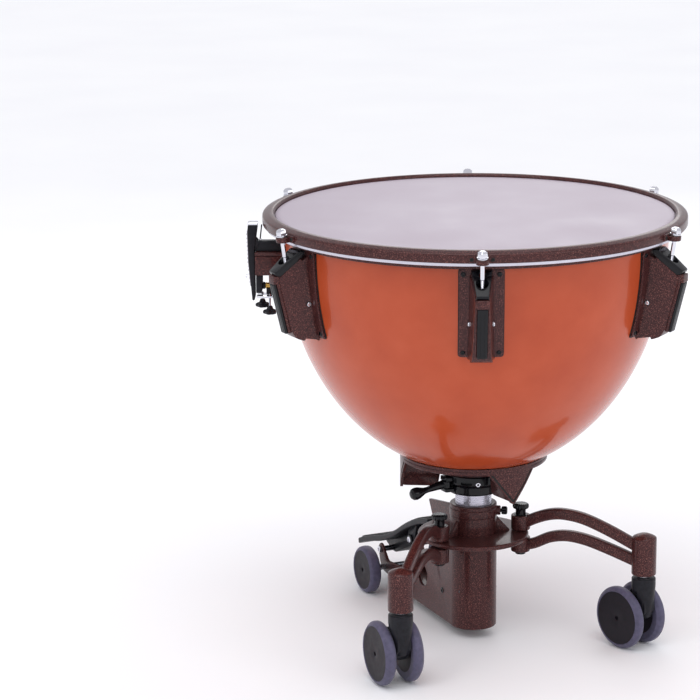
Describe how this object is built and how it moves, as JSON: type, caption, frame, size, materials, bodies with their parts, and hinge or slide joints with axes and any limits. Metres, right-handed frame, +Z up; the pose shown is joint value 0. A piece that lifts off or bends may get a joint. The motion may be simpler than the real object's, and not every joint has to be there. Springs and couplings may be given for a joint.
{
  "type": "timpani drum",
  "caption": "Pedal-tuned kettledrum: a deep bowl with a tensioned head on a wheeled base with folding caster legs.",
  "frame": {"origin": "on the floor, under the centre of the whole drum's outer box; the drum's own vertical axis stands 22.25 mm from it towards +Y", "axes": "+Z up, out of the drumhead; -Y towards the player and the pedal; +X to the side of the tuning gauge"},
  "size_m": [0.771, 0.7596, 0.7529],
  "materials": {
    "orange_lacquer": "gloss",
    "brown_paint": "hammered",
    "black_plastic": "satin",
    "chrome": "polished",
    "zinc_steel": "satin",
    "aluminium": "satin",
    "film": "satin film",
    "tyre": "matte"
  },
  "bodies": {
    "base": {"base_housing": "brown_paint", "wheel_axle": "zinc_steel"},
    "pillar": {"pillar": "aluminium"},
    "kettle": {"bowl": "orange_lacquer", "bearing_ring": "brown_paint", "drumhead": "film", "lug_casing_1": "brown_paint", "lug_casing_2": "brown_paint", "lug_casing_3": "brown_paint", "lug_casing_4": "brown_paint", "lug_casing_5": "brown_paint", "lug_casing_6": "brown_paint", "bowl_cradle": "brown_paint", "clamp_collar": "black_plastic", "gauge_bracket": "brown_paint", "gauge_scale": "black_plastic"},
    "rim": {"counterhoop": "brown_paint", "flesh_hoop": "aluminium"},
    "spider": {"spider": "zinc_steel"},
    "pull_shaft": {"pull_shaft": "zinc_steel"},
    "pull_lever": {"pull_lever": "zinc_steel"},
    "pedal": {"pedal": "black_plastic"},
    "clamp_lever": {"clamp_lever": "black_plastic"},
    "height_screw": {"height_screw": "black_plastic"},
    "gauge_pointer": {"gauge_pointer": "chrome"},
    "gauge_knob_outer": {"gauge_knob_outer": "black_plastic"},
    "gauge_knob_inner": {"gauge_knob_inner": "black_plastic"},
    "leg_left": {"leg_left": "brown_paint"},
    "leg_knob_left": {"leg_knob_left": "black_plastic"},
    "caster_left": {"caster_fork_left": "black_plastic"},
    "caster_brake_left": {"caster_brake_left": "black_plastic"},
    "caster_wheel_left_outer": {"caster_wheel_left_outer": "tyre"},
    "caster_wheel_left_inner": {"caster_wheel_left_inner": "tyre"},
    "transport_wheel_left": {"transport_wheel_left": "tyre"},
    "leg_right": {"leg_right": "brown_paint"},
    "leg_knob_right": {"leg_knob_right": "black_plastic"},
    "caster_right": {"caster_fork_right": "black_plastic"},
    "caster_brake_right": {"caster_brake_right": "black_plastic"},
    "caster_wheel_right_outer": {"caster_wheel_right_outer": "tyre"},
    "caster_wheel_right_inner": {"caster_wheel_right_inner": "tyre"},
    "transport_wheel_right": {"transport_wheel_right": "tyre"},
    "tension_rod_1": {"tension_rod_1": "chrome"},
    "rocker_1": {"rocker_1": "zinc_steel"},
    "pull_rod_1": {"pull_rod_1": "zinc_steel"},
    "tension_rod_2": {"tension_rod_2": "chrome"},
    "rocker_2": {"rocker_2": "zinc_steel"},
    "pull_rod_2": {"pull_rod_2": "zinc_steel"},
    "tension_rod_3": {"tension_rod_3": "chrome"},
    "rocker_3": {"rocker_3": "zinc_steel"},
    "pull_rod_3": {"pull_rod_3": "zinc_steel"},
    "tension_rod_4": {"tension_rod_4": "chrome"},
    "rocker_4": {"rocker_4": "zinc_steel"},
    "pull_rod_4": {"pull_rod_4": "zinc_steel"},
    "tension_rod_5": {"tension_rod_5": "chrome"},
    "rocker_5": {"rocker_5": "zinc_steel"},
    "pull_rod_5": {"pull_rod_5": "zinc_steel"},
    "tension_rod_6": {"tension_rod_6": "chrome"},
    "rocker_6": {"rocker_6": "zinc_steel"},
    "pull_rod_6": {"pull_rod_6": "zinc_steel"}
  },
  "joints": [
    {"name": "pedal_rock", "type": "hinge", "parent": "base", "child": "pedal", "pos_m": [0, -0.27775, 0.07], "axis": [-1, 0, 0], "range_deg": [0, 12]},
    {"name": "lever_rock", "type": "hinge", "parent": "base", "child": "pull_lever", "pos_m": [0, 0.03745, 0.085], "axis": [1, 0, 0], "range_deg": [0, 16.29]},
    {"name": "shaft_slide", "type": "slide", "parent": "base", "child": "pull_shaft", "axis": [0, 0, -1], "range_m": [0, 0.00428]},
    {"name": "height_slide", "type": "slide", "parent": "base", "child": "pillar", "axis": [0, 0, 1], "range_m": [0, 0.1]},
    {"name": "bowl_swivel", "type": "hinge", "parent": "pillar", "child": "kettle", "pos_m": [0, 0.02225, 0.3], "axis": [0, 0, 1], "continuous": true},
    {"name": "clamp_swing", "type": "hinge", "parent": "kettle", "child": "clamp_lever", "pos_m": [0.05387, 0.02602, 0.2765], "axis": [0, 0, 1], "range_deg": [-35, 35]},
    {"name": "spider_slide", "type": "slide", "parent": "kettle", "child": "spider", "axis": [0, 0, -1], "range_m": [0, 0.00426]},
    {"name": "rim_slide", "type": "slide", "parent": "kettle", "child": "rim", "axis": [0, 0, -1], "range_m": [0, 0.00302]},
    {"name": "pointer_slide", "type": "slide", "parent": "kettle", "child": "gauge_pointer", "axis": [0, 0, 1], "range_m": [0, 0.0602]},
    {"name": "rocker_1_turn", "type": "hinge", "parent": "kettle", "child": "rocker_1", "pos_m": [0.32533, 0.05529, 0.626], "axis": [-0.1011, 0.9949, 0], "range_deg": [0, 7.93]},
    {"name": "pull_rod_1_tilt", "type": "hinge", "parent": "spider", "child": "pull_rod_1", "pos_m": [0.04477, 0.0268, 0.36], "axis": [0.1011, -0.9949, 0], "range_deg": [0, 1.15]},
    {"name": "tension_rod_1_turn", "type": "hinge", "parent": "rim", "child": "tension_rod_1", "pos_m": [0.36572, 0.0594, 0.7525], "axis": [0.1488, 0.0151, 0.9888], "continuous": true},
    {"name": "rocker_2_turn", "type": "hinge", "parent": "kettle", "child": "rocker_2", "pos_m": [0.13404, 0.32051, 0.626], "axis": [-0.9121, 0.4099, 0], "range_deg": [0, 7.93]},
    {"name": "pull_rod_2_tilt", "type": "hinge", "parent": "spider", "child": "pull_rod_2", "pos_m": [0.01845, 0.0633, 0.36], "axis": [0.9121, -0.4099, 0], "range_deg": [0, 1.15]},
    {"name": "tension_rod_2_turn", "type": "hinge", "parent": "rim", "child": "tension_rod_2", "pos_m": [0.15069, 0.35755, 0.7525], "axis": [0.0613, 0.1364, 0.9888], "continuous": true},
    {"name": "rocker_3_turn", "type": "hinge", "parent": "kettle", "child": "rocker_3", "pos_m": [-0.19128, 0.28747, 0.626], "axis": [-0.8111, -0.585, 0], "range_deg": [0, 7.93]},
    {"name": "pull_rod_3_tilt", "type": "hinge", "parent": "spider", "child": "pull_rod_3", "pos_m": [-0.02632, 0.05875, 0.36], "axis": [0.8111, 0.585, 0], "range_deg": [0, 1.15]},
    {"name": "tension_rod_3_turn", "type": "hinge", "parent": "rim", "child": "tension_rod_3", "pos_m": [-0.21503, 0.3204, 0.7525], "axis": [-0.0875, 0.1213, 0.9888], "continuous": true},
    {"name": "rocker_4_turn", "type": "hinge", "parent": "kettle", "child": "rocker_4", "pos_m": [-0.32533, -0.0108, 0.626], "axis": [0.1011, -0.9949, 0], "range_deg": [0, 7.93]},
    {"name": "pull_rod_4_tilt", "type": "hinge", "parent": "spider", "child": "pull_rod_4", "pos_m": [-0.04477, 0.0177, 0.36], "axis": [-0.1011, 0.9949, 0], "range_deg": [0, 1.15]},
    {"name": "tension_rod_4_turn", "type": "hinge", "parent": "rim", "child": "tension_rod_4", "pos_m": [-0.36572, -0.0149, 0.7525], "axis": [-0.1488, -0.0151, 0.9888], "continuous": true},
    {"name": "rocker_5_turn", "type": "hinge", "parent": "kettle", "child": "rocker_5", "pos_m": [-0.13404, -0.27601, 0.626], "axis": [0.9121, -0.4099, 0], "range_deg": [0, 7.93]},
    {"name": "pull_rod_5_tilt", "type": "hinge", "parent": "spider", "child": "pull_rod_5", "pos_m": [-0.01845, -0.01879, 0.36], "axis": [-0.9121, 0.4099, 0], "range_deg": [0, 1.15]},
    {"name": "tension_rod_5_turn", "type": "hinge", "parent": "rim", "child": "tension_rod_5", "pos_m": [-0.15069, -0.31305, 0.7525], "axis": [-0.0613, -0.1364, 0.9888], "continuous": true},
    {"name": "rocker_6_turn", "type": "hinge", "parent": "kettle", "child": "rocker_6", "pos_m": [0.19128, -0.24297, 0.626], "axis": [0.8111, 0.585, 0], "range_deg": [0, 7.93]},
    {"name": "pull_rod_6_tilt", "type": "hinge", "parent": "spider", "child": "pull_rod_6", "pos_m": [0.02632, -0.01425, 0.36], "axis": [-0.8111, -0.585, 0], "range_deg": [0, 1.15]},
    {"name": "tension_rod_6_turn", "type": "hinge", "parent": "rim", "child": "tension_rod_6", "pos_m": [0.21503, -0.2759, 0.7525], "axis": [0.0875, -0.1213, 0.9888], "continuous": true},
    {"name": "height_screw_turn", "type": "hinge", "parent": "base", "child": "height_screw", "pos_m": [-0.03816, 0.0461, 0.2235], "axis": [-0.848, 0.5299, 0], "continuous": true},
    {"name": "gauge_knob_outer_turn", "type": "hinge", "parent": "kettle", "child": "gauge_knob_outer", "pos_m": [0.32044, -0.136, 0.5887], "axis": [0, 0, 1], "continuous": true},
    {"name": "gauge_knob_inner_turn", "type": "hinge", "parent": "kettle", "child": "gauge_knob_inner", "pos_m": [0.316, -0.11407, 0.5887], "axis": [0, 0, 1], "continuous": true},
    {"name": "leg_left_fold", "type": "hinge", "parent": "base", "child": "leg_left", "pos_m": [0.07739, 0.04935, 0.18], "axis": [0, 0, 1], "range_deg": [-75, 0]},
    {"name": "leg_knob_left_turn", "type": "hinge", "parent": "leg_left", "child": "leg_knob_left", "pos_m": [0.07739, 0.04935, 0.22], "axis": [0, 0, 1], "continuous": true},
    {"name": "caster_left_swivel", "type": "hinge", "parent": "leg_left", "child": "caster_left", "pos_m": [0.2266, 0.21579, 0.15], "axis": [0, 0, 1], "continuous": true},
    {"name": "caster_wheel_left_outer_roll", "type": "hinge", "parent": "caster_left", "child": "caster_wheel_left_outer", "pos_m": [0.22608, 0.18579, 0.05383], "axis": [0.9998, -0.0175, 0], "continuous": true},
    {"name": "caster_wheel_left_inner_roll", "type": "hinge", "parent": "caster_left", "child": "caster_wheel_left_inner", "pos_m": [0.22608, 0.18579, 0.05383], "axis": [0.9998, -0.0175, 0], "continuous": true},
    {"name": "caster_brake_left_press", "type": "hinge", "parent": "caster_left", "child": "caster_brake_left", "pos_m": [0.22565, 0.16129, 0.071], "axis": [0.9998, -0.0175, 0], "range_deg": [0, 14]},
    {"name": "transport_wheel_left_roll", "type": "hinge", "parent": "base", "child": "transport_wheel_left", "pos_m": [0.074, -0.25875, 0.04247], "axis": [1, 0, 0], "continuous": true},
    {"name": "leg_right_fold", "type": "hinge", "parent": "base", "child": "leg_right", "pos_m": [-0.07739, 0.04935, 0.18], "axis": [0, 0, 1], "range_deg": [0, 75]},
    {"name": "leg_knob_right_turn", "type": "hinge", "parent": "leg_right", "child": "leg_knob_right", "pos_m": [-0.07739, 0.04935, 0.22], "axis": [0, 0, 1], "continuous": true},
    {"name": "caster_right_swivel", "type": "hinge", "parent": "leg_right", "child": "caster_right", "pos_m": [-0.2266, 0.21579, 0.15], "axis": [0, 0, 1], "continuous": true},
    {"name": "caster_wheel_right_outer_roll", "type": "hinge", "parent": "caster_right", "child": "caster_wheel_right_outer", "pos_m": [-0.21934, 0.18668, 0.05383], "axis": [0.9703, 0.2419, 0], "continuous": true},
    {"name": "caster_wheel_right_inner_roll", "type": "hinge", "parent": "caster_right", "child": "caster_wheel_right_inner", "pos_m": [-0.21934, 0.18668, 0.05383], "axis": [0.9703, 0.2419, 0], "continuous": true},
    {"name": "caster_brake_right_press", "type": "hinge", "parent": "caster_right", "child": "caster_brake_right", "pos_m": [-0.21342, 0.1629, 0.071], "axis": [0.9703, 0.2419, 0], "range_deg": [0, 14]},
    {"name": "transport_wheel_right_roll", "type": "hinge", "parent": "base", "child": "transport_wheel_right", "pos_m": [-0.074, -0.25875, 0.04247], "axis": [1, 0, 0], "continuous": true}
  ],
  "couplings": [
    {"joint": "lever_rock", "follows": "pedal_rock", "ratio": 1.3557},
    {"joint": "shaft_slide", "follows": "pedal_rock", "m_per_rad": 0.020331},
    {"joint": "spider_slide", "follows": "pedal_rock", "m_per_rad": 0.02024},
    {"joint": "rim_slide", "follows": "pedal_rock", "m_per_rad": 0.014324},
    {"joint": "pointer_slide", "follows": "pedal_rock", "m_per_rad": 0.28648},
    {"joint": "rocker_1_turn", "follows": "pedal_rock", "ratio": 0.6589},
    {"joint": "pull_rod_1_tilt", "follows": "pedal_rock", "ratio": 0.093989},
    {"joint": "rocker_2_turn", "follows": "pedal_rock", "ratio": 0.6589},
    {"joint": "pull_rod_2_tilt", "follows": "pedal_rock", "ratio": 0.093989},
    {"joint": "rocker_3_turn", "follows": "pedal_rock", "ratio": 0.6589},
    {"joint": "pull_rod_3_tilt", "follows": "pedal_rock", "ratio": 0.093989},
    {"joint": "rocker_4_turn", "follows": "pedal_rock", "ratio": 0.6589},
    {"joint": "pull_rod_4_tilt", "follows": "pedal_rock", "ratio": 0.093989},
    {"joint": "rocker_5_turn", "follows": "pedal_rock", "ratio": 0.6589},
    {"joint": "pull_rod_5_tilt", "follows": "pedal_rock", "ratio": 0.093989},
    {"joint": "rocker_6_turn", "follows": "pedal_rock", "ratio": 0.6589},
    {"joint": "pull_rod_6_tilt", "follows": "pedal_rock", "ratio": 0.093989}
  ]
}
